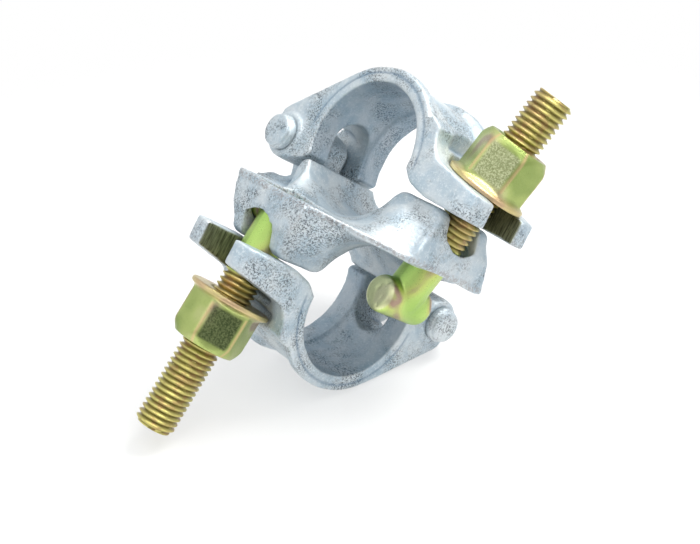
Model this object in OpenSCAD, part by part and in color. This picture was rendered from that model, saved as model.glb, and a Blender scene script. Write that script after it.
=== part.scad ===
// Right-angle (double) scaffold coupler, drop forged: two saddles back to back at 90 degrees,
// each closed by a hinged flap, a T-headed bolt and a flange nut.
// The shapes are drawn in the body's own frame: Z = 0 is the flash plane between the two saddles,
// the upper tube runs along Y above it and the lower tube along X below it.
// The whole part is then lifted so that the origin lies on the lower tube's axis.

/* [Tubes] */
// Outside diameter of the tubes
tube_d = 48.3; // [48.3]
// Radial play of a tube in its saddle
tube_play = 0.05; // [0.02:0.01:0.1]
// Distance between the axes of the two tubes
axis_spacing = 51.8; // [51.8:0.2:53]

/* [Body] */
// Half length of a saddle along its tube
saddle_half = 19; // [17:0.5:19]
// Height of the hook's crest above the flash plane
crest_z = 19.3; // [17:0.1:19.4]
// Reach of the bolt arm from the body's centre
arm_reach = 47; // [47:0.5:50]
// Half width of the bolt arm at the flash line
arm_half = 19.5; // [16:0.5:20]
// Reach of the hinge ledge from the body's centre
ledge_reach = 44; // [42:0.5:46]
// Thickness of the flash line that runs round the body
flash_t = 2.4; // [1.6:0.2:3]
// Height of the pointed edge of the saddle on the hinge side
horn_z = 14.4; // [13:0.1:15]

/* [Hinges] */
// Distance of the hinge pin from the tube's axis, across the body
hinge_x = 38.8; // [38:0.2:40]
// Height of the hinge pin above the flash plane
hinge_z = 18.4; // [18:0.1:19]
// Diameter of the hinge rivet's shank
rivet_d = 11; // [9:0.5:12]
// Diameter of the rivet's heads
rivet_head_d = 13.4; // [12.6:0.2:15]
// Distance of a rivet head's face from the middle of the flap
rivet_face_y = 25; // [24:0.5:26]
// Width of the body's hinge lug
lug_w = 10; // [8:0.5:15]
// Radius of the hinge lug round the pin
lug_r = 8.6; // [8:0.2:9]

/* [Flaps] */
// Half width of the flap's band
flap_half = 19.3; // [18:0.1:19.5]
// Thickness of the flap's raised ribs
rib_t = 6; // [5:0.5:7]
// Thickness of the band between the ribs
band_t = 3.8; // [3:0.2:4.5]
// Radius of the flap's hinge boss
boss_r = 9; // [8:0.2:9.4]
// Half width of the window that the body's lug stands in
window_half = 8.8; // [6:0.1:9.6]
// Reach of the fork's prongs from the tube's axis
fork_reach = 57; // [54:0.5:59]
// Width of the fork's slot
fork_slot = 16; // [15:0.5:17]

/* [Bolts] */
// Diameter of the bolts
bolt_d = 14; // [14]
// Length from the axis of the T-head to the bolt's end
bolt_len = 84.6; // [84:0.2:88]
// Diameter of the T-head's cross bar
tee_d = 13.2; // [12:0.2:13.4]
// Length of the T-head's cross bar
tee_len = 23; // [21:0.5:24]
// Outward lean of the upper bolt, which hangs low in its slot
upper_lean = 13.5; // [12:0.1:14]
// Outward lean of the lower bolt, which is pulled home
lower_lean = 5.9; // [4:0.1:7]
// How far below its seat the upper bolt's head hangs
upper_drop = 21; // [18:0.5:23]

/* [Nuts] */
// Width of the nut across its flats
nut_af = 23; // [21:0.5:24]
// Height of the nut with its flange
nut_h = 18.6; // [16:0.2:19]
// Diameter of the nut's flange
nut_flange_d = 29.4; // [27:0.2:30]
// Clear space between the lower nut and its fork
lower_nut_gap = 7.2; // [6:0.2:10]

/* [Hidden] */

bore_r = tube_d / 2 + tube_play;
axis_z = axis_spacing / 2;
flash = flash_t / 2;
reach = 200;                    // longer than anything that it cuts
fit = 0.06;                     // radial play of a moving round fit
rest_gap = 0.1;                 // between faces that lie on each other

seat_x = 36.9;                  // axis of a T-head pulled home in its seat
seat_z = 5.8;
seat_r = tee_d / 2 + 0.2;
slot_half = 8;                  // half width of the bolt's slot in the body
slot_floor_z = 10;              // bottom of that slot in the arm's front wall
slot_corner_r = 3.6;
wall_x = 45.1;                  // inner face of the arm's front wall
slot_x = 29.1;                  // inner end of the bolt's slot, higher than its relief
recess = 0.9;                   // depth of the dished rim round the slot's bottom
fork_slot_x = 30.5;             // inner end of the fork's slot
fork_top_x = 31;                // where the fork's sloping top starts, and its height there
fork_top_z = 33.9;
fork_tip_top_z = fork_top_z - (fork_reach - fork_top_x) * tan(upper_lean);
fork_tip_low_z = 19;
fork_mid_low_z = 20.1;
fork_root_low_z = 22.2;
ring_r = bore_r + rib_t;
band_r = bore_r + band_t;
inner_groove = 0.9;             // depth of the groove inside the flap, and its half width
groove_half = 9.5;

// Where each bolt's T-head is, seen from its own clamp
function along(lean, s) = [sin(lean) * s, 0, cos(lean) * s];
upper_tee = [seat_x, 0, seat_z] - along(upper_lean, upper_drop);
lower_tee = [seat_x, 0, seat_z];
// Distance along a bolt from its T-head to the plane of the fork's top
function fork_along(tee, lean) =
    (fork_top_z - (tee[0] - fork_top_x) * tan(upper_lean) - tee[2])
    / (cos(lean) + sin(lean) * tan(upper_lean));
upper_nut_s = fork_along(upper_tee, upper_lean) + rest_gap;
lower_nut_s = fork_along(lower_tee, lower_lean) + lower_nut_gap;

// Half length of a saddle along its tube, from the hinge ledge to the arm's front: [x, half length]
ends = [[-ledge_reach - 1, 15.5], [-28, 15], [-25, saddle_half], [-20, saddle_half],
        [-12, saddle_half - 1.4], [0, saddle_half - 2.6], [28, saddle_half - 3.1], [43.4, 14],
        [arm_reach, 13.6]];
function end_y(x) = lookup(x, ends);
// The height of the saddle's bore above the flash plane at x
function bore_z(x) = axis_z - sqrt(bore_r * bore_r - x * x);
horn_x = -sqrt(bore_r * bore_r - pow(axis_z - horn_z, 2));
crest_x = sqrt(bore_r * bore_r - pow(axis_z - crest_z + 2.4, 2));

module upper() { translate([0, 0, axis_z]) children(); }
module lower() { translate([0, 0, axis_z]) rotate(a = 180, v = [1, -1, 0]) children(); }
module across(half) { rotate([90, 0, 0]) linear_extrude(height = 2 * half, center = true) children(); }
module rod_y(r, half, fn = 64) {
    rotate([90, 0, 0]) cylinder(r = r, h = 2 * half, center = true, $fn = fn);
}

// ---- Body ------------------------------------------------------------------------------------

// Outline of the flash line, the same seen from either side
module flash_outline() {
    polygon([[-arm_half, -arm_reach], [20, -45], [45, -20], [arm_reach, arm_half], [27, 24],
             [22, 28], [20, ledge_reach], [-20, ledge_reach], [-ledge_reach, 20],
             [-ledge_reach, -20], [-28, -22], [-24, -27]]);
}

// Section of one saddle across its tube, from the hinge ledge to the arm's front
module saddle_section() {
    polygon([[-42.6, 0], [-42.6, 2], [-41.4, 3], [-34, 4.4], [-28, 8],
             [horn_x - 2.4, horn_z - 0.6], [horn_x, horn_z], [crest_x, crest_z - 2.4],
             [crest_x + 1.6, crest_z - 0.7], [crest_x + 4, crest_z], [40.8, crest_z], [43.2, 17.8],
             [45.9, slot_floor_z], [arm_reach - 0.5, 1.6], [arm_reach - 0.5, 0]]);
}

// Solid under the ruled surface between a saddle's edge and the flash line outside it
module skirt(edge, rim) {
    n = len(edge);
    depth = -flash / 2;
    points = concat(edge, [for (p = rim) [p[0], p[1], flash - 0.2]],
                    [for (p = rim) [p[0], p[1], depth]], [for (p = edge) [p[0], p[1], depth]]);
    near = edge[0][1] < 0;
    strips = [for (i = [0:n - 2], k = [0:3], half = [0, 1])
              let (a = k * n + i, b = ((k + 1) % 4) * n + i)
              half == 0 ? [a, b, b + 1] : [a, b + 1, a + 1]];
    caps = [for (c = [[0, 3 * n, 2 * n], [0, 2 * n, n]])
            each [c, [c[0] + n - 1, c[2] + n - 1, c[1] + n - 1]]];
    faces = concat(strips, caps);
    polyhedron(points = points, faces = near ? [for (f = faces) [f[2], f[1], f[0]]] : faces, convexity = 6);
}

// A point on a polyline, with f running from 0 to the polyline's last index
function on_line(line, f) =
    let (i = min(floor(f), len(line) - 2)) line[i] + (line[i + 1] - line[i]) * (f - i);

// The rim that each skirt comes down to, and which point of it belongs to x on the saddle's edge
near_rim = [[-18.5, -24.5], [-1, -42], [8, -44.4], [18, -43.9], [25, -38.9], [35.6, -28.6], [44.2, -19.6],
            [arm_reach - 0.7, -arm_half + 1]];
near_at = [[-20.5, 0], [-6, 1], [-2.6, 2], [1, 3], [4.6, 4], [22.5, 5], [40.6, 6], [43, 7]];
far_rim = [[-17, ledge_reach - 0.6], [16.5, ledge_reach - 1], [19.8, 37], [21.2, 28.6], [26.6, 23.4],
           [40, 19.6], [arm_reach - 0.7, arm_half - 1]];
far_at = [[-20.5, 0], [11, 1], [15, 2], [20, 3], [27, 4], [40.6, 5], [43, 6]];

module saddle_skirts() {
    steps = 12;                 // along the bore, from the horn to the crest
    crest_steps = 6;            // along the crest, to the arm's front
    sunk = 0.35;                // the ruled surface starts just inside the saddle
    xs = concat([for (i = [0:steps]) horn_x + 0.8 + (crest_x - horn_x - 0.8) * i / steps],
                [for (i = [0:crest_steps]) crest_x + 4 + (36.6 - crest_x) * i / crest_steps]);
    for (side = [-1, 1]) {
        edge = [for (x = xs) [x, side * (end_y(x) - 0.5), (x > crest_x + 1 ? crest_z : bore_z(x)) - sunk]];
        rim = [for (x = concat(xs, [43])) on_line(side < 0 ? near_rim : far_rim,
                                                  lookup(x, side < 0 ? near_at : far_at))];
        skirt(concat(edge, [[43, side * 13.3, 17.6]]), rim);
    }
}

module half_forging() {
    intersection() {
        across(saddle_half + 6) saddle_section();
        linear_extrude(height = 2 * reach, center = true)
            polygon(concat([for (p = ends) [p[0], -p[1]]], [for (i = [len(ends) - 1:-1:0]) ends[i]]));
    }
    // The ledge's sides slope down to the flash line
    translate([-42.2, 0, 0]) rotate([90, 0, 90]) linear_extrude(height = 17)
        polygon([[-19, 0], [-18, 2.2], [-15, 3.6], [15, 3.6], [18, 2.2], [19, 0]]);
    // The arm's front wall is broadest at the flash line
    intersection() {
        across(arm_half) saddle_section();
        translate([37, 0, 0]) rotate([90, 0, 90]) linear_extrude(height = reach)
            polygon([[-19.2, 0], [-19, 4], [-16.8, 10], [-14.8, 14], [-11.6, 17.4], [-9, crest_z + 1],
                     [9, crest_z + 1], [11.6, 17.4], [14.8, 14], [16.8, 10], [19, 4], [19.2, 0]]);
    }
    saddle_skirts();
    // Lug for the flap's hinge
    across(lug_w / 2) {
        translate([-hinge_x, hinge_z]) circle(r = lug_r, $fn = 64);
        polygon([[-42, 0.4], [-hinge_x - lug_r, hinge_z - 2], [-hinge_x, hinge_z + lug_r - 0.3],
                 [-31.4, hinge_z + 6.4], [-29, hinge_z + 3.6], [-28.4, 12], [-25.6, 8], [-24, 0.4]]);
    }
}

// One round corner of the slot's floor in the arm's front wall, as [y, z] points
function slot_corner(side) =
    [for (i = [0:5])
     let (a = (side < 0 ? 180 : 270) + 18 * i)
     [side * (slot_half - slot_corner_r) + slot_corner_r * cos(a),
      slot_floor_z + slot_corner_r * (1 + sin(a))]];

// Everything that is cut from one saddle: tube, pin, slot and the T-head's seat
module half_cuts() {
    translate([0, 0, axis_z]) rod_y(bore_r, reach, 180);
    translate([-hinge_x, 0, hinge_z]) rod_y(rivet_d / 2 + fit / 2, reach);
    // Seat of the T-head and the way up into it
    pocket_half = tee_len / 2 + 0.5;
    way = seat_r + 0.5;
    translate([seat_x, 0, seat_z]) across(pocket_half) {
        circle(r = seat_r, $fn = 64);
        polygon([[way, -2], [way, -reach], [-way - reach * tan(upper_lean), -reach],
                 [-way + 1.5 * tan(upper_lean), 1.5]]);
    }
    // Slot for the bolt, behind the front wall and over it
    across(slot_half)
        polygon([[wall_x, reach], [slot_x, reach], [slot_x, 9], [slot_x - 1.8, 4], [slot_x - 1.8, -reach],
                 [wall_x, -reach]]);
    translate([seat_x, 0, 0]) rotate([90, 0, 90]) linear_extrude(height = reach)
        polygon(concat([[-slot_half, reach]], slot_corner(-1), slot_corner(1), [[slot_half, reach]]));
    // Shallow dished rim in the front wall under the slot
    translate([arm_reach - 0.8 - recess, 0, slot_floor_z + slot_half]) rotate([0, 90, 0])
        cylinder(r1 = slot_half + 1.4, r2 = slot_half + 1.4 + 2 * recess, h = 2 * recess, $fn = 64);
}

module coupler_body() {
    color("lightsteelblue") translate([0, 0, axis_z]) difference() {
        union() {
            linear_extrude(height = flash_t, center = true) flash_outline();
            half_forging();
            rotate(a = 180, v = [1, -1, 0]) half_forging();
        }
        half_cuts();
        rotate(a = 180, v = [1, -1, 0]) half_cuts();
    }
}

// ---- Flap ------------------------------------------------------------------------------------

// Cross-section of the band: two raised ribs with a hollow between them
module band_section() {
    polygon([[bore_r, -flap_half], [ring_r - 0.6, -flap_half], [ring_r, -flap_half + 0.8],
             [ring_r, -flap_half + 4.6], [band_r, -flap_half + 8], [band_r, flap_half - 8],
             [ring_r, flap_half - 4.6], [ring_r, flap_half - 0.8], [ring_r - 0.6, flap_half],
             [bore_r, flap_half]]);
}

// Side view of the ears, from the hinge boss to the ring
module ear_section() {
    hinge = [-hinge_x, hinge_z - axis_z];
    translate(hinge) circle(r = boss_r, $fn = 64);
    polygon([hinge + [-boss_r, 0], hinge + [-8.2, 8.2], hinge + [-6.6, 10.3],
             ring_r * [cos(128), sin(128)], [-20, 12], [-22, -9.6], [-25, -12.2],
             hinge + [2, -boss_r + 0.3]]);
}

// Side view of the fork, with the fillet that leads into it from the ring
module fork_section() {
    steps = 8;
    fillet = [13, 12];          // how far the fillet runs out along the fork, and up the ring
    top = fork_top_z - axis_z;
    curve = [for (i = [0:steps])
             let (a = 90 * i / steps, x = ring_r - 0.3 + fillet[0] * (1 - cos(a)))
             [x, max(top + 9 - fillet[1] * sin(a), top - (x - fork_top_x) * tan(upper_lean))]];
    polygon(concat([[28.6, fork_root_low_z - axis_z], [bore_r, 0], [bore_r, top + fillet[1]]], curve,
                   [[fork_reach, fork_tip_top_z - axis_z], [fork_reach, fork_tip_low_z - axis_z],
                    [36, fork_mid_low_z - axis_z]]));
}

// The ring is cut back round the bolt, so that the nut's flange lies flat on the fork and the nut
// can be backed off: each cut is [its middle, the bolt's lean, its height over the fork's top]
module nut_seat() {
    for (cut = [[43.2, upper_lean, 0], [40.2, lower_lean, 5]])
        translate([cut[0], 0, fork_top_z - axis_z - (cut[0] - fork_top_x) * tan(upper_lean) + cut[2]])
            rotate([0, cut[1], 0]) cylinder(r = nut_flange_d / 2 + 0.9, h = 14, $fn = 64);
}

module flap() {
    translate([0, 0, axis_z]) difference() {
        union() {
            rotate([-90, 0, 0]) rotate_extrude(angle = -202, $fn = 180) band_section();
            across(flap_half) ear_section();
            for (side = [-1, 1]) translate([-hinge_x, side * (flap_half - 2), hinge_z - axis_z])
                rod_y(boss_r - 0.4, 3.3);
            intersection() {
                across(flap_half) fork_section();
                linear_extrude(height = 2 * reach, center = true)
                    polygon([[0, -flap_half], [33, -flap_half], [50, -18.4], [fork_reach - 1.4, -16.4],
                             [fork_reach, -12], [fork_reach, 12], [fork_reach - 1.4, 16.4],
                             [50, 18.4], [33, flap_half], [0, flap_half]]);
            }
        }
        rod_y(bore_r, reach, 180);
        rod_y(bore_r + inner_groove, groove_half, 180);
        nut_seat();
        translate([-hinge_x, 0, hinge_z - axis_z]) rod_y(rivet_d / 2 + fit, reach);
        // Window for the body's lug
        translate([-hinge_x, 0, hinge_z - axis_z]) rod_y(lug_r + 4, window_half);
        translate([-hinge_x - 12, -window_half, -30]) cube([22, 2 * window_half, 26]);
        hull() {
            translate([-60, 0, -1]) rotate([0, 90, 0]) cylinder(r = window_half, h = 45, $fn = 32);
            translate([-60, 0, -12]) rotate([0, 90, 0]) cylinder(r = window_half, h = 45, $fn = 32);
        }
        // Slot of the fork
        translate([fork_slot_x + fork_slot / 2, 0, 0]) {
            cylinder(d = fork_slot, h = reach, center = true, $fn = 64);
            translate([0, -fork_slot / 2, -reach / 2]) cube([reach, fork_slot, reach]);
        }
    }
}

module upper_flap() { color("lightsteelblue") upper() flap(); }
module lower_flap() { color("lightsteelblue") lower() flap(); }

// ---- Hinge rivet ------------------------------------------------------------------------------

module rivet() {
    head_in = flap_half + 1.3 + rest_gap;
    face_r = rivet_head_d / 2 - 0.6;
    translate([-hinge_x, 0, hinge_z]) rotate([90, 0, 0]) rotate_extrude($fn = 64)
        polygon([[0, -rivet_face_y], [face_r, -rivet_face_y], [face_r, -rivet_face_y + 1.6],
                 [rivet_head_d / 2, -rivet_face_y + 2.2], [rivet_head_d / 2, -head_in],
                 [rivet_d / 2, -head_in], [rivet_d / 2, head_in], [rivet_head_d / 2, head_in],
                 [rivet_head_d / 2, rivet_face_y - 2.2],
                 [face_r, rivet_face_y - 1.6], [face_r, rivet_face_y], [0, rivet_face_y]]);
}

module upper_hinge_rivet() { color("silver") upper() rivet(); }
module lower_hinge_rivet() { color("silver") lower() rivet(); }

// ---- T-bolt -----------------------------------------------------------------------------------

module t_bolt() {
    bar_end = tee_d / 2 - 1.6;
    rotate([90, 0, 0]) rotate_extrude($fn = 64)
        polygon([[0, -tee_len / 2], [bar_end, -tee_len / 2], [tee_d / 2, -tee_len / 2 + 1.8],
                 [tee_d / 2, tee_len / 2 - 1.8], [bar_end, tee_len / 2], [0, tee_len / 2]]);
    rotate_extrude($fn = 64)
        polygon([[0, 0], [bolt_d / 2, 0], [bolt_d / 2, bolt_len - 1.2], [bolt_d / 2 - 1.2, bolt_len],
                 [0, bolt_len]]);
}

module bolt_at(tee, lean) { translate(tee) rotate([0, lean, 0]) t_bolt(); }
module upper_t_bolt() { color("darkkhaki") upper() bolt_at(upper_tee, upper_lean); }
module lower_t_bolt() { color("darkkhaki") lower() bolt_at(lower_tee, lower_lean); }

// ---- Flange nut -------------------------------------------------------------------------------

module flange_nut() {
    flange_t = 1.6;
    difference() {
        union() {
            intersection() {
                rotate([0, 0, 30]) cylinder(d = nut_af / cos(30), h = nut_h, $fn = 6);
                rotate_extrude($fn = 64)
                    polygon([[0, 0], [nut_af, 0], [nut_af, nut_h - 6.5], [nut_af / 2 - 0.4, nut_h],
                             [0, nut_h]]);
            }
            rotate_extrude($fn = 64)
                polygon([[0, 0], [nut_flange_d / 2 - 0.5, 0], [nut_flange_d / 2, 0.5],
                         [nut_flange_d / 2, flange_t], [nut_af / 2, flange_t + 2], [0, flange_t + 2]]);
        }
        cylinder(r = bolt_d / 2 + fit, h = reach, center = true, $fn = 64);
    }
}

module nut_on(tee, lean, s) { translate(tee + along(lean, s)) rotate([0, lean, 0]) flange_nut(); }
module upper_flange_nut() { color("khaki") upper() nut_on(upper_tee, upper_lean, upper_nut_s); }
module lower_flange_nut() { color("khaki") lower() nut_on(lower_tee, lower_lean, lower_nut_s); }

coupler_body();
upper_flap();
lower_flap();
upper_hinge_rivet();
lower_hinge_rivet();
upper_t_bolt();
lower_t_bolt();
upper_flange_nut();
lower_flange_nut();
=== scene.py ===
"""Right-angle scaffold coupler: galvanised drop-forged body and flaps, yellow-zinc T-bolts and nuts.

Lengths are in millimetres in the building code and are turned into metres when a mesh is made.
Clamp frame: Z = 0 is the flash plane between the saddles, the tube runs along Y above it.
"""

import math

import bmesh
import bpy
import numpy as np
from mathutils import Matrix, Vector, noise

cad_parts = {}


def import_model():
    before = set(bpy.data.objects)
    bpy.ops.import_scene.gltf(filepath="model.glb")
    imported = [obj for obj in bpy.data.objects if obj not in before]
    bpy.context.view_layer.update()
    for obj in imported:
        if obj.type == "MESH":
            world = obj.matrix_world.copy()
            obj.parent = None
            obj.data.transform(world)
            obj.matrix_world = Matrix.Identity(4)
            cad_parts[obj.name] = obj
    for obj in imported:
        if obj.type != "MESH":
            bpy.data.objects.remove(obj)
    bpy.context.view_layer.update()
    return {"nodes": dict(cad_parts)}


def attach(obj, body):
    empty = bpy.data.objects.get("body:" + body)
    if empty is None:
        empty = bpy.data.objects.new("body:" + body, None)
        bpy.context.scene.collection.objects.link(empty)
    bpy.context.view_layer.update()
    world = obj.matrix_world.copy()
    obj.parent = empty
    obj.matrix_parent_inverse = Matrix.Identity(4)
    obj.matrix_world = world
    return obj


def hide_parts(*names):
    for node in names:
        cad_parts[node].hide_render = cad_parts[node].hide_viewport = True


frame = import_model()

MM = 0.001
FLASH_Z = 25.9          # height of the flash plane above the lower tube's axis
TUBE_Z = 25.9           # distance of a tube's axis from the flash plane
BORE_R = 24.2
HINGE = (-38.8, 18.4)   # x and z of a hinge pin, in its clamp's frame
SEAT = np.array([36.9, 0.0, 5.8])
UPPER_LEAN, LOWER_LEAN, UPPER_DROP = math.radians(13.5), math.radians(5.9), 21.0
BOLT_R, BOLT_LEN, THREAD_FROM, PITCH = 7.0, 84.6, 25.0, 2.0
THREAD_DEPTH = 1.2
TEE_R, TEE_HALF = 6.6, 11.5
TEE_FLAT = 5.2          # from the lower T-bar's middle to the flat cut on it, see bolt_piece
NUT_AF, NUT_H, NUT_FLANGE_R = 23.0, 18.6, 14.7
SIXTH = math.pi / 3     # one side of a nut's hexagon, as an angle
REFLECTING_FLAT = -SIXTH      # direction of each nut's flat that takes a painted reflection
RIVET_FACE, RIVET_HEAD_R, RIVET_INNER, RIVET_PIN_R = 25.0, 6.7, 20.7, 5.5
PARTING_LINE = (3.4, 0.45, 0.22)    # a flap's parting line: distance outside the bore, width and depth


# ---- Frames ----------------------------------------------------------------------------------

def clamp_of(points, lower):
    """Points of the row frame, in mm, as points of the upper or lower clamp's own frame."""
    p = np.array(points, float)
    if lower:
        return np.stack([-p[:, 1], -p[:, 0], FLASH_Z - p[:, 2]], 1)
    return p - [0, 0, FLASH_Z]


def row_of(points, lower):
    """Points of a clamp's own frame, in mm, as points of the row frame."""
    p = np.array(points, float)
    if lower:
        return np.stack([-p[:, 1], -p[:, 0], FLASH_Z - p[:, 2]], 1)
    return p + [0, 0, FLASH_Z]


def bolt_frame(lower):
    """Where a bolt's T-head is in its clamp's frame, and how far the bolt leans outward."""
    lean = LOWER_LEAN if lower else UPPER_LEAN
    drop = 0.0 if lower else UPPER_DROP
    return SEAT - drop * np.array([math.sin(lean), 0, math.cos(lean)]), lean


def on_bolt(points, lower):
    """Points of a bolt's own frame, Z along the bolt from its T-head, as points of the row frame."""
    tee, lean = bolt_frame(lower)
    c, s = math.cos(lean), math.sin(lean)
    p = np.array(points, float)
    return row_of(np.stack([c * p[:, 0] + s * p[:, 2], p[:, 1], c * p[:, 2] - s * p[:, 0]], 1) + tee, lower)


# ---- Meshes ----------------------------------------------------------------------------------

def new_object(name, points, faces, smooth=True):
    """A mesh object from points in mm of the row frame."""
    mesh = bpy.data.meshes.new(name)
    mesh.from_pydata((np.asarray(points) * MM).tolist(), [], [tuple(int(i) for i in f) for f in faces])
    mesh.validate()
    mesh.update()
    if smooth:
        mesh.shade_smooth()
    obj = bpy.data.objects.new(name, mesh)
    bpy.context.scene.collection.objects.link(obj)
    return obj


def points_of(mesh):
    co = np.empty(len(mesh.vertices) * 3, np.float32)
    mesh.vertices.foreach_get("co", co)
    return co.reshape(-1, 3).astype(float) / MM


def set_points(mesh, points):
    mesh.vertices.foreach_set("co", (np.asarray(points) * MM).astype(np.float32).ravel())
    mesh.update()


def normals_of(mesh):
    n = np.empty(len(mesh.vertices) * 3, np.float32)
    mesh.vertex_normals.foreach_get("vector", n)
    return n.reshape(-1, 3).astype(float)


def edges_of(mesh):
    e = np.empty(len(mesh.edges) * 2, np.int32)
    mesh.edges.foreach_get("vertices", e)
    return e.reshape(-1, 2)


def relaxed(points, edges, rounds, factor=0.5):
    """Points moved towards the mean of their neighbours."""
    a, b = edges[:, 0], edges[:, 1]
    count = np.bincount(a, minlength=len(points)) + np.bincount(b, minlength=len(points))
    count = np.maximum(count, 1)[:, None]
    p = points.copy()
    for _ in range(rounds):
        sums = [np.bincount(a, p[b, k], len(p)) + np.bincount(b, p[a, k], len(p)) for k in range(3)]
        total = np.stack(sums, 1)
        p += factor * (total / count - p)
    return p


def remeshed(obj, voxel):
    """The object's mesh rebuilt as an even skin of small quads."""
    modifier = obj.modifiers.new("skin", "REMESH")
    modifier.mode = "VOXEL"
    modifier.voxel_size = voxel * MM
    graph = bpy.context.evaluated_depsgraph_get()
    mesh = bpy.data.meshes.new_from_object(obj.evaluated_get(graph))
    obj.modifiers.clear()
    old = obj.data
    obj.data = mesh
    bpy.data.meshes.remove(old)
    mesh.name = obj.name
    return mesh


def cad_copy(node, name):
    """A copy of a CAD node's mesh with its points welded."""
    bm = bmesh.new()
    bm.from_mesh(frame["nodes"][node].data)
    bmesh.ops.remove_doubles(bm, verts=bm.verts, dist=1e-7)
    mesh = bpy.data.meshes.new(name)
    bm.to_mesh(mesh)
    bm.free()
    obj = bpy.data.objects.new(name, mesh)
    bpy.context.scene.collection.objects.link(obj)
    return obj


def noise_at(points, scale, seed=0.0):
    """Smooth noise from about -1 to 1 at each point, with features of the given size in mm."""
    shift = Vector((seed, seed * 1.7, -seed * 2.3))
    return np.array([noise.noise(Vector(p) + shift) for p in (points / scale).tolist()])


def smoothstep(low, high, x):
    t = np.clip((np.asarray(x) - low) / (high - low), 0, 1)
    return t * t * (3 - 2 * t)


def put_values(mesh, name, values):
    """A number for each point of the mesh, which its material reads."""
    kind, field = ("FLOAT_VECTOR", "vector") if np.ndim(values) == 2 else ("FLOAT", "value")
    attribute = mesh.attributes.new(name, kind, "POINT")
    attribute.data.foreach_set(field, np.asarray(values, np.float32).ravel())


def lathe(profile, segments):
    """Points and faces of a closed turned shape round Z.

    The profile is a list of (radius, z), from one end of the axis to the other.
    """
    points, faces = [], []
    angles = np.linspace(0, 2 * math.pi, segments, endpoint=False)
    for r, z in profile[1:-1]:
        points += [(r * math.cos(t), r * math.sin(t), z) for t in angles]
    rows = len(profile) - 2
    for i in range(rows - 1):
        for k in range(segments):
            n = (k + 1) % segments
            low, high = i * segments, (i + 1) * segments
            faces.append((low + k, low + n, high + n, high + k))
    first, last = len(points), len(points) + 1
    points += [(0, 0, profile[0][1]), (0, 0, profile[-1][1])]
    for k in range(segments):
        n = (k + 1) % segments
        faces.append((first, n, k))
        faces.append((last, (rows - 1) * segments + k, (rows - 1) * segments + n))
    return np.array(points, float), faces


# ---- Forged pieces ---------------------------------------------------------------------------

def finish_forging(obj, edges, points, seed, shade=0.0):
    """Gives a forging its uneven zinc skin, and the values that its material reads.

    Shade marks places that take the painted shade of the hollows as well.
    """
    mesh = obj.data
    set_points(mesh, points)
    n = normals_of(mesh)
    broad = relaxed(points, edges, 14)
    bulge = np.einsum("ij,ij->i", points - broad, n)      # positive on ridges, negative in corners
    skin = (0.16 * noise_at(points, 9.0, seed) + 0.07 * noise_at(points, 3.2, seed + 5)
            + 0.035 * noise_at(points, 1.2, seed + 9))
    skin += 0.10 * smoothstep(0.15, 0.5, bulge) * noise_at(points, 1.6, seed + 13)
    set_points(mesh, points + n * skin[:, None])
    # The next two values mark convex edges, for a painted highlight and real wear, and corners, for painted
    # shade
    put_values(mesh, "ridge", smoothstep(0.10, 0.42, bulge))
    put_values(mesh, "hollow", np.maximum(smoothstep(0.05, 0.35, -bulge), shade))
    mesh.shade_smooth()


# Half the length of a saddle along its tube, at places from its hinge side to its bolt side
SADDLE_X = (-25, -20, -12, 0, 28, 43.4)
SADDLE_END = (19, 19, 17.6, 16.4, 15.9, 14)


def body_piece():
    obj = cad_copy("coupler_body", "forged_coupler_body")
    mesh = remeshed(obj, 0.6)
    edges, points = edges_of(mesh), points_of(mesh)
    # The faces that run from the saddles down to the flash line are drawn smooth and slightly full
    far = np.zeros(len(points))
    for lower in (False, True):
        c = clamp_of(points, lower)
        end = np.interp(c[:, 0], SADDLE_X, SADDLE_END)
        out = smoothstep(0.0, 2.0, np.abs(c[:, 1]) - end) * smoothstep(1.6, 3.0, c[:, 2])
        out *= smoothstep(43.5, 41.0, c[:, 0])
        far = np.maximum(far, out * smoothstep(-27, -24, c[:, 0]))
    soft = relaxed(points, edges, 60)
    points = relaxed(points, edges, 10)
    points += (soft - points) * far[:, None]
    c = points - [0, 0, FLASH_Z]
    # The trimmed flash line is ragged
    n = normals_of(mesh)
    rim = smoothstep(1.9, 1.1, np.abs(c[:, 2])) * smoothstep(0.3, 0.7, np.hypot(n[:, 0], n[:, 1]))
    rim *= smoothstep(17, 22, np.maximum(np.abs(c[:, 0]), np.abs(c[:, 1])))
    rag = 0.28 * noise_at(points, 3.0, 31) + 0.14 * noise_at(points, 1.1, 37)
    points = points + n * (rim * rag)[:, None]
    finish_forging(obj, edges, points, 3.0)
    put_values(mesh, "flash", rim)
    put_values(mesh, "cut", np.zeros(len(points)))
    return obj


def flap_piece(node, name, lower):
    obj = cad_copy(node, name)
    mesh = remeshed(obj, 0.55)
    edges, points = edges_of(mesh), points_of(mesh)
    points = relaxed(points, edges, 9)
    c = clamp_of(points, lower)
    radius = np.hypot(c[:, 0], c[:, 2] - TUBE_Z)
    # A fine parting line follows the ring round its end faces
    outside, width, depth = PARTING_LINE
    line = np.exp(-((radius - BORE_R - outside) / width) ** 2) * smoothstep(18.0, 18.8, np.abs(c[:, 1]))
    line *= smoothstep(-1, 2, c[:, 2] - TUBE_Z)
    set_points(mesh, points)
    points = points - normals_of(mesh) * (depth * line)[:, None]
    # The parting line and the ring's inside by the bore take painted shade as well
    inside = smoothstep(BORE_R + 1.6, BORE_R + 0.9, radius) * smoothstep(19.4, 18.6, np.abs(c[:, 1]))
    finish_forging(obj, edges, points, 50.0 if lower else 20.0, np.maximum(0.8 * line, 0.4 * inside))
    put_values(mesh, "flash", np.zeros(len(points)))
    # The fork slot's two inner faces take painted shade and a painted olive reflection of the yellow bolt.
    # They face along the clamp's Y, the row's X in the lower clamp
    across = np.abs(normals_of(mesh)[:, 0 if lower else 1])
    slot = smoothstep(9.4, 8.6, np.abs(c[:, 1])) * smoothstep(31.5, 34.0, c[:, 0])
    put_values(mesh, "cut", slot * smoothstep(0.6, 0.9, across))
    return obj


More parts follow.
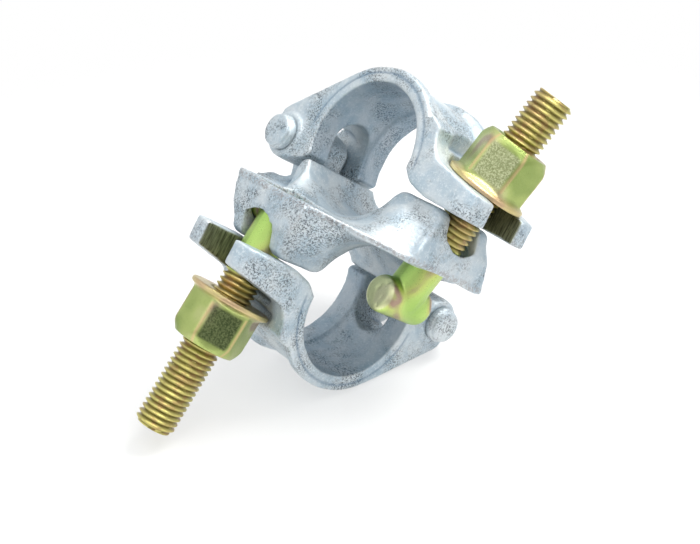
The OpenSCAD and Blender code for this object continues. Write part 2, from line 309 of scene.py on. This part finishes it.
def rivet_piece(name, lower):
    face, head_r, inner, pin_r = RIVET_FACE, RIVET_HEAD_R, RIVET_INNER, RIVET_PIN_R
    profile = [(0, -face)] + [(r, -face + 0.25 * (r / 6.1) ** 4) for r in (2, 4, 5.4)]
    profile += [(5.95, -face + 0.35), (6.1, -face + 0.7), (6.1, -face + 1.5), (6.45, -face + 1.85),
                (head_r, -face + 2.3), (head_r, -inner), (pin_r, -inner + 0.02)]
    profile += [(pin_r, z) for z in np.linspace(-inner + 0.4, -0.5, 6)]
    profile += [(r, -z) for r, z in reversed(profile)]
    dense = []
    for (r0, z0), (r1, z1) in zip(profile[:-1], profile[1:]):
        steps = max(1, int(math.hypot(r1 - r0, z1 - z0) / 0.7))
        dense += [(r0 + (r1 - r0) * i / steps, z0 + (z1 - z0) * i / steps) for i in range(steps)]
    dense.append(profile[-1])
    p, faces = lathe(dense, 72)
    across = np.hypot(p[:, 0], p[:, 1])
    wobble = 0.10 * noise_at(p, 3.0, 71 + 9 * lower) * smoothstep(3, 6, across)
    wobble *= smoothstep(20.5, 21.5, np.abs(p[:, 2]))
    p[:, :2] *= (1 + wobble / np.maximum(across, 1))[:, None]
    clamp = np.stack([p[:, 0] + HINGE[0], -p[:, 2], p[:, 1] + HINGE[1]], 1)
    obj = new_object(name, row_of(clamp, lower), faces)
    # The head's rim takes the material's painted highlight on ridges, and wear
    put_values(obj.data, "ridge", smoothstep(5.2, 6.0, across) * 0.4)
    for name_of_value in ("hollow", "flash", "cut"):
        put_values(obj.data, name_of_value, np.zeros(len(p)))
    return obj


# ---- Bolts and nuts --------------------------------------------------------------------------

def thread_grid(z_from, z_to, r_major, depth, chamfer, segments=64):
    """Points and faces of a threaded rod's skin, open at both ends. Its rows follow the helix."""
    section = [(0.0, 0.0), (0.14, 0.0), (0.56, 1.0), (0.70, 1.0)]   # share of the pitch, share of the depth
    turns = int((z_to - z_from) / PITCH) + 2
    rows = [(PITCH * (k - 1 + at), into) for k in range(turns + 1) for at, into in section]
    points = []
    for row_z, into in rows:
        for i in range(segments + 1):
            t = 2 * math.pi * i / segments
            z = z_from + row_z + PITCH * i / segments
            r = r_major - depth * into
            zc = min(max(z, z_from), z_to)
            if z < z_from or z > z_to:
                r = r_major - depth
            r = min(r, r_major - max(0.0, chamfer - (z_to - zc)) * 0.9)
            points.append((r * math.cos(t), r * math.sin(t), zc))
    w = segments + 1
    faces = [(j * w + i, j * w + i + 1, (j + 1) * w + i + 1, (j + 1) * w + i)
             for j in range(len(rows) - 1) for i in range(segments)]
    return np.array(points), faces


def joined(name, parts):
    """One object from several (points, faces) shells."""
    points, faces, start = [], [], 0
    for p, f in parts:
        points.append(p)
        faces += [tuple(i + start for i in face) for face in f]
        start += len(p)
    return new_object(name, np.concatenate(points), faces)


def cleaned(mesh, dist=1e-6):
    bm = bmesh.new()
    bm.from_mesh(mesh)
    bmesh.ops.remove_doubles(bm, verts=bm.verts, dist=dist)
    bmesh.ops.dissolve_degenerate(bm, dist=dist, edges=bm.edges)
    bmesh.ops.recalc_face_normals(bm, faces=bm.faces)
    bm.to_mesh(mesh)
    bm.free()


def t_head_shape(name):
    """The T-head and plain shank, run into one forged shape, in the bolt's own frame."""
    bar = [(0, -TEE_HALF), (5.0, -TEE_HALF), (6.0, -TEE_HALF + 0.8), (TEE_R, -TEE_HALF + 2.2),
           (TEE_R, TEE_HALF - 2.2), (6.0, TEE_HALF - 0.8), (5.0, TEE_HALF), (0, TEE_HALF)]
    p, f = lathe(bar, 64)
    bar_points = np.stack([p[:, 0], -p[:, 2], p[:, 1]], 1)
    shank_end = THREAD_FROM + 0.2
    shank = [(0, 0), (BOLT_R, 0), (BOLT_R, THREAD_FROM - 0.6), (BOLT_R - 0.5, shank_end), (0, shank_end)]
    obj = joined(name, [(bar_points, f), lathe(shank, 64)])
    cleaned(obj.data)
    mesh = remeshed(obj, 0.5)
    points = points_of(mesh)
    points = relaxed(points, edges_of(mesh), 4)
    # A forging seam runs along the shank, and the bar's ends are pitted
    n = normals_of(mesh)
    seam = np.exp(-(points[:, 1] / 0.45) ** 2) * smoothstep(5.5, 6.5, np.abs(points[:, 0]))
    seam *= points[:, 2] > 2
    skin = 0.05 * noise_at(points, 4.0, 81) + 0.02 * noise_at(points, 1.5, 83)
    pits = smoothstep(0.32, 0.55, noise_at(points, 1.9, 87)) * smoothstep(9.8, 11.0, np.abs(points[:, 1]))
    points = points + n * (skin + 0.07 * seam - 0.22 * pits)[:, None]
    faces = [tuple(poly.vertices) for poly in mesh.polygons]
    bpy.data.objects.remove(obj)
    return points, faces


def bolt_piece(name, lower, head):
    head_points, head_faces = head
    grid, grid_faces = thread_grid(THREAD_FROM, BOLT_LEN, BOLT_R, THREAD_DEPTH, chamfer=1.3)
    end_r = BOLT_R - THREAD_DEPTH
    rings = [(r, BOLT_LEN - 0.15 * (r / end_r) ** 6) for r in (end_r, 5.0, 3.5, 1.8)]
    core = [(0, THREAD_FROM - 2), (end_r - 0.05, THREAD_FROM - 2)]
    cap, cap_faces = lathe(core + rings + [(0, BOLT_LEN)], 64)
    obj = joined(name, [(head_points, head_faces), (grid, grid_faces), (cap, cap_faces)])
    cleaned(obj.data)
    local = points_of(obj.data)
    if lower:
        # The photo shows nothing of this bar above the flash line, so what would show is cut off flat
        local[:, 2] = np.maximum(local[:, 2], -TEE_FLAT)
    across = np.hypot(local[:, 0], local[:, 1])
    wear = 0.05 * noise_at(local, 2.2, 91 + lower) * smoothstep(THREAD_FROM, THREAD_FROM + 1, local[:, 2])
    local[:, :2] *= (1 + wear / np.maximum(across, 1))[:, None]
    put_values(obj.data, "local", local)
    threaded = (local[:, 2] > THREAD_FROM) * (local[:, 2] < BOLT_LEN - 0.4)
    # This value marks the thread roots, which the material darkens with painted shade
    put_values(obj.data, "groove", smoothstep(BOLT_R - 0.1, BOLT_R - 1.1, across) * threaded)
    set_points(obj.data, on_bolt(local, lower))
    obj.data.shade_smooth()
    return obj


def nut_radius(theta, z):
    """Radius of the nut's skin at an angle and height: a hexagon with a turned top, on a conical flange."""
    def soft_min(a, b, k):
        h = np.clip(0.5 + 0.5 * (b - a) / k, 0, 1)
        return b * (1 - h) + a * h - k * h * (1 - h)
    corner = (theta + SIXTH / 2) % SIXTH - SIXTH / 2
    hexagon = NUT_AF / 2 / np.cos(corner)
    hexagon = soft_min(hexagon, np.full_like(hexagon, NUT_AF / 2 / math.cos(SIXTH / 2) - 0.35), 0.5)
    turned = (NUT_AF / 2 - 0.6) + (NUT_H - z) * 0.62
    r = soft_min(hexagon, turned, 0.7)
    flange = NUT_FLANGE_R - np.maximum(z - 1.4, 0) * 1.75
    r = -soft_min(-r, -flange, 0.5)
    low = NUT_FLANGE_R - 0.5 + np.sqrt(np.maximum(0, 0.25 - (0.5 - np.minimum(z, 0.5)) ** 2))
    return np.where(z < 0.5, np.minimum(r, low), r)


def nut_piece(name, lower, start):
    segments = 240
    theta = np.linspace(0, 2 * math.pi, segments, endpoint=False)
    flange = [0, 0.12, 0.3, 0.5, 1.0, 1.4, 1.8, 2.2, 2.7, 3.2, 3.8, 4.5]
    flats = np.linspace(5.2, NUT_H - 0.5, 34)
    heights = np.concatenate([flange, flats, [NUT_H - 0.25, NUT_H - 0.08, NUT_H]])
    rows = [(nut_radius(theta, np.full(segments, z)), z) for z in heights]
    rows[-1] = (rows[-1][0] - 0.25, NUT_H)
    bore = BOLT_R + 0.06
    inside = ((9.6, NUT_H), (8.6, NUT_H - 0.1), (bore, NUT_H - 1.6), (bore, NUT_H / 2),
              (bore, 1.2), (8.3, 0.0), (11.0, 0.0))
    rows += [(np.full(segments, r), z) for r, z in inside]
    rings = [np.stack([r * np.cos(theta), r * np.sin(theta), np.full(segments, z)], 1) for r, z in rows]
    points = np.concatenate(rings)
    count = len(rows)
    faces = []
    for j in range(count):
        k = (j + 1) % count
        for i in range(segments):
            n = (i + 1) % segments
            faces.append((j * segments + i, j * segments + n, k * segments + n, k * segments + i))
    across = np.hypot(points[:, 0], points[:, 1])
    outer = smoothstep(9, 10.5, across)
    dents = 0.05 * noise_at(points, 3.5, 101 + 7 * lower) + 0.03 * noise_at(points, 1.3, 107 + 7 * lower)
    points[:, :2] *= (1 + dents * outer / across)[:, None]
    obj = new_object(name, points, faces)
    cleaned(obj.data)
    local = points_of(obj.data)
    angle = np.arctan2(local[:, 1], local[:, 0])
    corner = np.abs((angle + SIXTH / 2) % SIXTH - SIXTH / 2) / (SIXTH / 2)
    put_values(obj.data, "local", local)
    put_values(obj.data, "groove", np.zeros(len(local)))
    height = local[:, 2]
    put_values(obj.data, "ridge", smoothstep(0.86, 0.98, corner) * smoothstep(3.0, 4.0, height))
    # One flat of each nut takes a painted reflection: dark on the lower nut, pale on the upper
    painted_reflection = smoothstep(0.48, 0.40, np.abs(angle - REFLECTING_FLAT)) * smoothstep(3.6, 4.6, height)
    put_values(obj.data, "painted_reflection", painted_reflection * smoothstep(NUT_H - 2.2, NUT_H - 3.2, height))
    set_points(obj.data, on_bolt(local + [0, 0, start], lower))
    obj.data.shade_smooth()
    return obj


def nut_start(lower):
    """Distance along a bolt from its T-head to the underside of its nut, from the CAD nut's own place."""
    node = frame["nodes"]["lower_flange_nut" if lower else "upper_flange_nut"]
    p = np.array([v.co for v in node.data.vertices], float) / MM
    tee, lean = bolt_frame(lower)
    axis = np.array([math.sin(lean), 0, math.cos(lean)])
    return float(((clamp_of(p, lower) - tee) @ axis).min())


# ---- Materials -------------------------------------------------------------------------------

class Nodes:
    """Shorthand for building a material's nodes."""

    def __init__(self, name):
        self.material = bpy.data.materials.new(name)
        self.material.use_nodes = True
        self.tree = self.material.node_tree
        self.shader = self.tree.nodes["Principled BSDF"]

    def add(self, kind, links=(), **values):
        node = self.tree.nodes.new(kind)
        for key, value in values.items():
            setattr(node, key, value)
        for socket, source in dict(links).items():
            self.feed(node.inputs[socket], source)
        return node

    def feed(self, socket, source):
        if isinstance(source, bpy.types.NodeSocket):
            self.tree.links.new(source, socket)
        else:
            socket.default_value = source

    def noise(self, where, scale, detail=2.0, rough=0.5, distortion=0.0):
        node = self.add("ShaderNodeTexNoise", {"Vector": where, "Scale": scale, "Detail": detail,
                                               "Roughness": rough, "Distortion": distortion})
        return node.outputs["Fac"]

    def ramp(self, value, stops, smooth=False):
        node = self.add("ShaderNodeValToRGB", {"Fac": value})
        elements = node.color_ramp.elements
        node.color_ramp.interpolation = "EASE" if smooth else "LINEAR"
        while len(elements) < len(stops):
            elements.new(0.5)
        for element, (at, colour) in zip(elements, stops):
            element.position = at
            colour = (colour,) * 3 if isinstance(colour, (int, float)) else colour
            element.color = (*colour, 1)
        return node.outputs["Color"]

    def step(self, value, low, high):
        links = {"Value": value, "From Min": low, "From Max": high}
        return self.add("ShaderNodeMapRange", links, interpolation_type="SMOOTHSTEP").outputs["Result"]

    def mapped(self, where, **values):
        return self.add("ShaderNodeMapping", {"Vector": where, **values}).outputs["Vector"]

    def axis(self, where, name):
        return self.add("ShaderNodeSeparateXYZ", {0: where}).outputs[name]

    def math(self, operation, a, b=0.0):
        node = self.add("ShaderNodeMath", {0: a, 1: b}, operation=operation)
        return node.outputs[0]

    def mix(self, factor, a, b, blend="MIX"):
        node = self.add("ShaderNodeMix", data_type="RGBA", blend_type=blend)
        for index, source in ((0, factor), (6, a), (7, b)):
            if isinstance(source, (tuple, list)):
                source = (*source, 1) if len(source) == 3 else source
            self.feed(node.inputs[index], source)
        return node.outputs[2]

    def value(self, name):
        return self.add("ShaderNodeAttribute", attribute_name=name).outputs["Fac"]

    def vector(self, name):
        return self.add("ShaderNodeAttribute", attribute_name=name).outputs["Vector"]

    def bump(self, height, strength, distance):
        node = self.add("ShaderNodeBump", {"Height": height, "Strength": strength, "Distance": distance})
        return node.outputs["Normal"]


def linear(red, green, blue):
    """A display colour from 0 to 255, as shader values. Every colour here is above sRGB's straight foot."""
    return tuple(((c / 255 + 0.055) / 1.055) ** 2.4 for c in (red, green, blue))


def galvanised(name, seed):
    m = Nodes(name)
    where = m.add("ShaderNodeTexCoord").outputs["Object"]
    shifted = m.mapped(where, Location=(seed, seed * 0.7, -seed))
    ridge, hollow, flash, cut = m.value("ridge"), m.value("hollow"), m.value("flash"), m.value("cut")
    cloud = m.noise(shifted, 90, 4, 0.6)
    patch = m.noise(shifted, 75, 3, 0.6, 0.4)
    grain = m.noise(shifted, 1000, 4, 0.75)
    speck = m.noise(shifted, 1500, 3, 0.75)
    colour = m.mix(m.step(cloud, 0.30, 0.70), linear(172, 191, 203), linear(212, 219, 222))
    colour = m.mix(m.math("MULTIPLY", m.step(grain, 0.50, 0.66), 0.55), colour, linear(232, 238, 240))
    # Dark grains gather in patches, as the zinc wears
    worn_patch = m.step(patch, 0.60, 0.36)
    dark = m.math("MULTIPLY", worn_patch, m.step(speck, 0.47, 0.58))
    colour = m.mix(m.math("MULTIPLY", dark, 0.85), colour, linear(70, 78, 84))
    # Painted shade: corners, the parting line and the ring's inside by the bore are darkened to a deep blue
    colour = m.mix(m.math("MULTIPLY", hollow, 0.75), colour, linear(84, 116, 144))
    # Painted highlight: ridges are lightened towards white
    colour = m.mix(m.math("MULTIPLY", ridge, 0.45), colour, linear(230, 236, 238))
    rubbed = m.math("MAXIMUM", flash, m.math("MULTIPLY", ridge, worn_patch))
    rubbed = m.math("MULTIPLY", rubbed, m.step(grain, 0.44, 0.58))
    colour = m.mix(m.math("MULTIPLY", rubbed, 0.60), colour, linear(140, 132, 130))
    # The fork slot's inner faces take painted shade and a painted olive reflection of the yellow bolt,
    # streaked along Z
    streaks = m.noise(m.mapped(shifted, Scale=(1, 1, 0.08)), 1500, 3, 0.6)
    slot_painted_colour = m.ramp(streaks, [(0.35, linear(58, 62, 44)), (0.65, linear(136, 140, 112))])
    colour = m.mix(cut, colour, slot_painted_colour)
    m.feed(m.shader.inputs["Base Color"], colour)
    m.shader.inputs["Metallic"].default_value = 0.50
    m.feed(m.shader.inputs["Roughness"], m.math("ADD", m.math("MULTIPLY", grain, 0.30), 0.22))
    height = m.math("ADD", m.math("MULTIPLY", grain, 0.7), m.math("MULTIPLY", speck, 0.35))
    m.feed(m.shader.inputs["Normal"], m.bump(height, 0.8, 0.0005))
    return m.material


def yellow_zinc(name, seed, threaded, facet=None):
    """Yellow-passivated zinc. Facet is the dark and light colour of the painted reflection on one flat of a
    nut.
    """
    m = Nodes(name)
    local = m.vector("local")
    shifted = m.mapped(local, Location=(seed, seed * 1.3, seed * 0.4))
    broad = m.noise(shifted, 0.07, 1, 0.4, 0.3)
    fine = m.noise(shifted, 2.4, 4, 0.7)
    blurred = m.math("ADD", broad, m.math("MULTIPLY", m.math("SUBTRACT", fine, 0.5), 0.06))
    z = m.axis(local, "Z")
    if threaded:
        film = m.ramp(blurred, [(0.30, linear(158, 194, 100)), (0.48, linear(184, 212, 118)),
                                (0.55, linear(198, 210, 122)), (0.60, linear(168, 142, 124)),
                                (0.66, linear(176, 152, 132)), (0.72, linear(190, 206, 120))])
        gold = m.step(z, THREAD_FROM - 1, THREAD_FROM + 2)
        film = m.mix(m.math("MULTIPLY", gold, 0.78), film, linear(216, 196, 122))
        rust = m.math("MULTIPLY", m.step(m.noise(shifted, 0.28, 3, 0.6), 0.50, 0.62), gold)
        # Painted shade darkens the thread roots
        film = m.mix(m.math("MULTIPLY", m.value("groove"), 0.78), film, linear(92, 80, 34))
        film = m.mix(m.math("MULTIPLY", rust, 0.45), film, linear(156, 110, 84))
        # The forged end of the T-head's bar is pale
        bar_end = m.step(m.math("ABSOLUTE", m.axis(local, "Y")), 10.0, 10.8)
        film = m.mix(m.math("MULTIPLY", bar_end, 0.85), film, linear(208, 210, 166))
    else:
        film = m.ramp(blurred, [(0.30, linear(146, 164, 92)), (0.45, linear(176, 190, 114)),
                                (0.54, linear(196, 200, 138)), (0.60, linear(180, 160, 132)),
                                (0.66, linear(186, 168, 138)), (0.74, linear(188, 198, 126))])
        # Painted reflection: one flat of each nut takes a dark or pale mottled colour
        dark, light = (linear(*colour) for colour in facet)
        mottled = m.mix(m.step(m.noise(shifted, 1.6, 4, 0.75), 0.42, 0.60), dark, light)
        film = m.mix(m.math("MULTIPLY", m.value("painted_reflection"), 0.88), film, mottled)
        edge = m.math("MAXIMUM", m.value("ridge"), m.step(z, 3.4, 1.4))
        film = m.mix(m.math("MULTIPLY", edge, 0.60), film, linear(222, 188, 142))
    specks = m.step(m.noise(shifted, 4.5, 3, 0.75), 0.60, 0.70)
    film = m.mix(m.math("MULTIPLY", specks, 0.45), film, linear(70, 66, 36))
    m.feed(m.shader.inputs["Base Color"], film)
    m.shader.inputs["Metallic"].default_value = 0.88
    m.feed(m.shader.inputs["Roughness"], m.math("ADD", m.math("MULTIPLY", fine, 0.26), 0.18))
    m.feed(m.shader.inputs["Normal"], m.bump(fine, 0.35, 0.0004))
    return m.material


# ---- Floor, light and camera -----------------------------------------------------------------

UP = Vector((0.03, -0.61, 0.79)).normalized()   # up from the floor that the coupler's lower flap lies on
MIDDLE = Vector((0, 0, FLASH_Z * MM))
FLOOR_R = 0.5                   # metres
FLOOR_FADE = (0.12, 0.36)       # the floor fades out between these distances from its middle, in metres
FLOOR_CLEAR = 0.55              # how clear the floor is before it fades


def floor(pieces):
    """A round floor under the lowest point at rest. It fades out at its edge and doesn't show from below.

    The lower flap opens through it, and shows pale behind it there.
    """
    low = min(float((points_of(p.data) @ np.array(UP)).min()) for p in pieces) * MM
    centre = MIDDLE + UP * (low - UP.dot(MIDDLE))
    bm = bmesh.new()
    bmesh.ops.create_circle(bm, cap_ends=True, radius=FLOOR_R, segments=96)
    mesh = bpy.data.meshes.new("floor")
    bm.to_mesh(mesh)
    bm.free()
    obj = bpy.data.objects.new("floor", mesh)
    obj.matrix_world = Matrix.Translation(centre) @ UP.to_track_quat("Z", "Y").to_matrix().to_4x4()
    bpy.context.scene.collection.objects.link(obj)
    m = Nodes("floor_white")
    m.shader.inputs["Base Color"].default_value = (0.9, 0.9, 0.9, 1)
    m.shader.inputs["Roughness"].default_value = 0.8
    m.shader.inputs["Specular IOR Level"].default_value = 0.1
    where = m.add("ShaderNodeTexCoord").outputs["Object"]
    away = m.add("ShaderNodeVectorMath", {0: where}, operation="LENGTH").outputs["Value"]
    thin = m.math("ADD", m.math("MULTIPLY", m.step(away, *FLOOR_FADE), 1 - FLOOR_CLEAR), FLOOR_CLEAR)
    gone = m.math("MAXIMUM", thin, m.add("ShaderNodeNewGeometry").outputs["Backfacing"])
    clear = m.add("ShaderNodeBsdfTransparent").outputs[0]
    mixed = m.add("ShaderNodeMixShader", {0: gone, 1: m.shader.outputs[0], 2: clear}).outputs[0]
    output = m.tree.nodes["Material Output"]
    m.tree.links.new(mixed, output.inputs["Surface"])
    mesh.materials.append(m.material)


def camera():
    """The photo's view. Gives the directions back to the camera, and right and up in the picture."""
    azimuth, height, roll = math.radians(45.55), math.radians(4.37), math.radians(27.21)
    distance, aside, below = 0.3809, 0.00402, -0.01535
    flat = math.cos(height)
    back = Vector((flat * math.cos(azimuth), -flat * math.sin(azimuth), math.sin(height)))
    level = Vector((math.sin(azimuth), math.cos(azimuth), 0))
    above = back.cross(level)
    right = level * math.cos(roll) + above * math.sin(roll)
    down = level * math.sin(roll) - above * math.cos(roll)
    data = bpy.data.cameras.new("camera")
    data.sensor_width = 36
    data.lens = 54.18
    data.clip_start = 0.01
    obj = bpy.data.objects.new("camera", data)
    axes = Matrix((right, -down, back)).transposed().to_4x4()
    obj.matrix_world = Matrix.Translation(MIDDLE + back * distance - right * aside - down * below) @ axes
    bpy.context.scene.collection.objects.link(obj)
    bpy.context.scene.camera = obj
    return back, right, -down


def area(name, direction, distance, size, power, colour):
    data = bpy.data.lights.new(name, "AREA")
    data.size = size
    data.energy = power
    data.color = colour
    obj = bpy.data.objects.new(name, data)
    d = direction.normalized()
    turn = d.to_track_quat("Z", "Y").to_matrix().to_4x4()
    obj.matrix_world = Matrix.Translation(MIDDLE + d * distance) @ turn
    bpy.context.scene.collection.objects.link(obj)


def world(back):
    """A white backdrop. It lights the coupler evenly, but less from where the camera stands."""
    w = bpy.data.worlds.new("studio")
    bpy.context.scene.world = w
    w.use_nodes = True
    tree = w.node_tree
    tree.nodes.clear()
    add = tree.nodes.new
    output = add("ShaderNodeOutputWorld")
    seen, lit = add("ShaderNodeBackground"), add("ShaderNodeBackground")
    mix = add("ShaderNodeMixShader")
    seen.inputs["Color"].default_value = (1, 1, 1, 1)
    seen.inputs["Strength"].default_value = 1.0
    where = add("ShaderNodeTexCoord")
    dot = add("ShaderNodeVectorMath")
    dot.operation = "DOT_PRODUCT"
    dot.inputs[1].default_value = back
    ramp = add("ShaderNodeMapRange")
    ramp.interpolation_type = "SMOOTHSTEP"
    ramp.inputs["From Min"].default_value = 0.70
    ramp.inputs["From Max"].default_value = 0.98
    ramp.inputs["To Min"].default_value = 0.84
    ramp.inputs["To Max"].default_value = 0.34
    tree.links.new(where.outputs["Generated"], dot.inputs[0])
    tree.links.new(dot.outputs["Value"], ramp.inputs["Value"])
    tree.links.new(ramp.outputs["Result"], lit.inputs["Strength"])
    lit.inputs["Color"].default_value = (0.97, 0.985, 1, 1)
    path = add("ShaderNodeLightPath")
    tree.links.new(path.outputs["Is Camera Ray"], mix.inputs[0])
    tree.links.new(lit.outputs[0], mix.inputs[1])
    tree.links.new(seen.outputs[0], mix.inputs[2])
    tree.links.new(mix.outputs[0], output.inputs["Surface"])


# ---- The whole object ------------------------------------------------------------------------

back, right, _ = camera()
zinc_body, zinc_flap = galvanised("galvanised_body", 0.0), galvanised("galvanised_flap", 4.0)
zinc_rivet = galvanised("galvanised_rivet", 8.0)
head = t_head_shape("t_head")
# Dark and pale colours of the painted reflection on one flat of each nut: the lower nut's is dark, the
# upper's pale
FACET_REFLECTIONS = {"upper": ((150, 156, 112), (212, 216, 172)), "lower": ((52, 64, 42), (112, 122, 84))}
pieces = []


def place(obj, material, body, node):
    obj.data.materials.clear()
    obj.data.materials.append(material)
    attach(obj, body)
    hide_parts(node)
    pieces.append(obj)


place(body_piece(), zinc_body, "root", "coupler_body")
for lower, side in ((False, "upper"), (True, "lower")):
    place(flap_piece(f"{side}_flap", f"forged_{side}_flap", lower), zinc_flap,
          f"{side}_flap_body", f"{side}_flap")
    place(rivet_piece(f"peened_{side}_rivet", lower), zinc_rivet,
          "root", f"{side}_hinge_rivet")
    place(bolt_piece(f"threaded_{side}_bolt", lower, head),
          yellow_zinc(f"yellow_zinc_{side}_bolt", 3.0 * lower, True),
          f"{side}_bolt_body", f"{side}_t_bolt")
    place(nut_piece(f"turned_{side}_nut", lower, nut_start(lower)),
          yellow_zinc(f"yellow_zinc_{side}_nut", 9 + 5.0 * lower, False, FACET_REFLECTIONS[side]),
          f"{side}_nut_body", f"{side}_flange_nut")

floor(pieces)
world(back)
area("key", UP * 1.0 + right * 0.5 - back * 0.2, 0.9, 0.5, 9.0, (1, 0.985, 0.96))
area("front", back * 1.0 + UP * 0.7 + right * 0.2, 1.0, 0.8, 3.4, (0.98, 0.99, 1))
area("bounce", back * 0.6 - UP * 1.0 - right * 0.5, 0.8, 0.6, 1.6, (1, 1, 1))
area("fill", UP * 0.5 - right * 0.9 + back * 0.4, 0.9, 0.6, 0.8, (0.92, 0.96, 1))
bpy.context.scene.view_settings.view_transform = "Standard"
bpy.context.scene.view_settings.look = "None"
